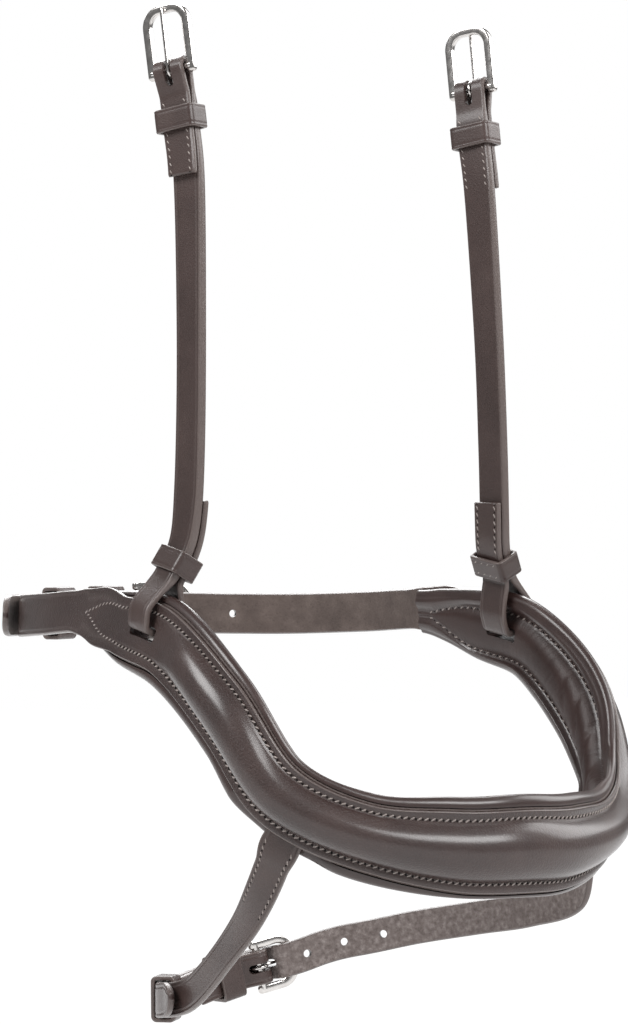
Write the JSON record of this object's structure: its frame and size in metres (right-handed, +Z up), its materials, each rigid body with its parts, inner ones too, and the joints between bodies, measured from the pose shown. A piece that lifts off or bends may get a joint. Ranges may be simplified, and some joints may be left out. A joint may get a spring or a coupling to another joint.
{
  "type": "bridle noseband with flash strap",
  "caption": "Padded anatomical noseband that sweeps low over the nose, with a flash strap under the chin and two buckled hanger straps.",
  "frame": {"origin": "middle of the padding's inner face, where the band lies on the bridge of the nose", "axes": "+Z up along the hanger straps; the nose end faces -Y; the left cheek is at -X and the right cheek at +X"},
  "size_m": [0.1878, 0.2732, 0.3782],
  "materials": {
    "outer_leather": "semi-gloss",
    "strap_leather": "semi-gloss",
    "backing_leather": "satin",
    "flesh_side_leather": "matte",
    "lining_leather": "satin",
    "felt_core": "matte",
    "polished_steel": "polished"
  },
  "bodies": {
    "noseband": {"base_band": "backing_leather", "raised_core": "felt_core", "lining_pad": "lining_leather", "face_leather": "outer_leather", "rear_buckle": "polished_steel", "rear_fixed_keeper": "strap_leather", "flash_chape_strap": "strap_leather", "flash_billet_strap": "flesh_side_leather", "flash_buckle": "polished_steel", "flash_fixed_keeper": "strap_leather"},
    "rear_tongue": {"rear_tongue": "polished_steel"},
    "rear_loose_keeper": {"rear_sliding_keeper": "strap_leather"},
    "flash_tongue": {"flash_tongue": "polished_steel"},
    "flash_loose_keeper": {"flash_sliding_keeper": "strap_leather"},
    "left_hanger": {"left_hanger_strap": "strap_leather", "left_hanger_top_keeper": "strap_leather"},
    "left_hanger_loose_keeper": {"left_hanger_foot_keeper": "strap_leather"},
    "left_hanger_frame": {"left_hanger_buckle": "polished_steel"},
    "left_hanger_tongue": {"left_hanger_tongue": "polished_steel"},
    "right_hanger": {"right_hanger_strap": "strap_leather", "right_hanger_top_keeper": "strap_leather"},
    "right_hanger_loose_keeper": {"right_hanger_foot_keeper": "strap_leather"},
    "right_hanger_frame": {"right_hanger_buckle": "polished_steel"},
    "right_hanger_tongue": {"right_hanger_tongue": "polished_steel"}
  },
  "joints": [
    {"name": "rear_tongue_lift", "type": "hinge", "parent": "noseband", "child": "rear_tongue", "pos_m": [0.01115, 0.24519, 0.0819], "axis": [0.0155, 0.0003, 0.9999], "range_deg": [0, 3]},
    {"name": "rear_keeper_slide", "type": "slide", "parent": "noseband", "child": "rear_loose_keeper", "axis": [-0.9679, -0.2507, -0.0199], "range_m": [-0.0012, 0.0012]},
    {"name": "flash_tongue_lift", "type": "hinge", "parent": "noseband", "child": "flash_tongue", "pos_m": [0.01007, 0.16295, -0.05328], "axis": [-0.2306, 0.0637, 0.971], "range_deg": [0, 3]},
    {"name": "flash_keeper_slide", "type": "slide", "parent": "noseband", "child": "flash_loose_keeper", "axis": [-0.7783, -0.6268, -0.0362], "range_m": [-0.0015, 0.0015]},
    {"name": "left_hanger_swing", "type": "hinge", "parent": "noseband", "child": "left_hanger", "pos_m": [-0.0834, 0.10189, 0.07667], "axis": [-0.1028, -0.9764, -0.1898], "range_deg": [-3, 4]},
    {"name": "left_hanger_keeper_slide", "type": "slide", "parent": "left_hanger", "child": "left_hanger_loose_keeper", "axis": [0.4651, -0.2027, 0.8617], "range_m": [0, 0.0008]},
    {"name": "left_hanger_frame_turn", "type": "hinge", "parent": "left_hanger", "child": "left_hanger_frame", "pos_m": [-0.07122, 0.10653, 0.28222], "axis": [0.3365, -0.9262, 0.1701], "range_deg": [-60, 60]},
    {"name": "left_hanger_tongue_lift", "type": "hinge", "parent": "left_hanger_frame", "child": "left_hanger_tongue", "pos_m": [-0.07122, 0.10653, 0.28222], "axis": [0.3365, -0.9262, 0.1701], "range_deg": [0, 60]},
    {"name": "right_hanger_swing", "type": "hinge", "parent": "noseband", "child": "right_hanger", "pos_m": [0.0834, 0.10189, 0.07667], "axis": [-0.1028, 0.9764, 0.1898], "range_deg": [-3, 4]},
    {"name": "right_hanger_keeper_slide", "type": "slide", "parent": "right_hanger", "child": "right_hanger_loose_keeper", "axis": [-0.4651, -0.2027, 0.8617], "range_m": [0, 0.0008]},
    {"name": "right_hanger_frame_turn", "type": "hinge", "parent": "right_hanger", "child": "right_hanger_frame", "pos_m": [0.07122, 0.10852, 0.28187], "axis": [-0.3373, 0.9283, -0.1565], "range_deg": [-60, 60]},
    {"name": "right_hanger_tongue_lift", "type": "hinge", "parent": "right_hanger_frame", "child": "right_hanger_tongue", "pos_m": [0.07122, 0.10852, 0.28187], "axis": [-0.3373, 0.9283, -0.1565], "range_deg": [0, 60]}
  ]
}
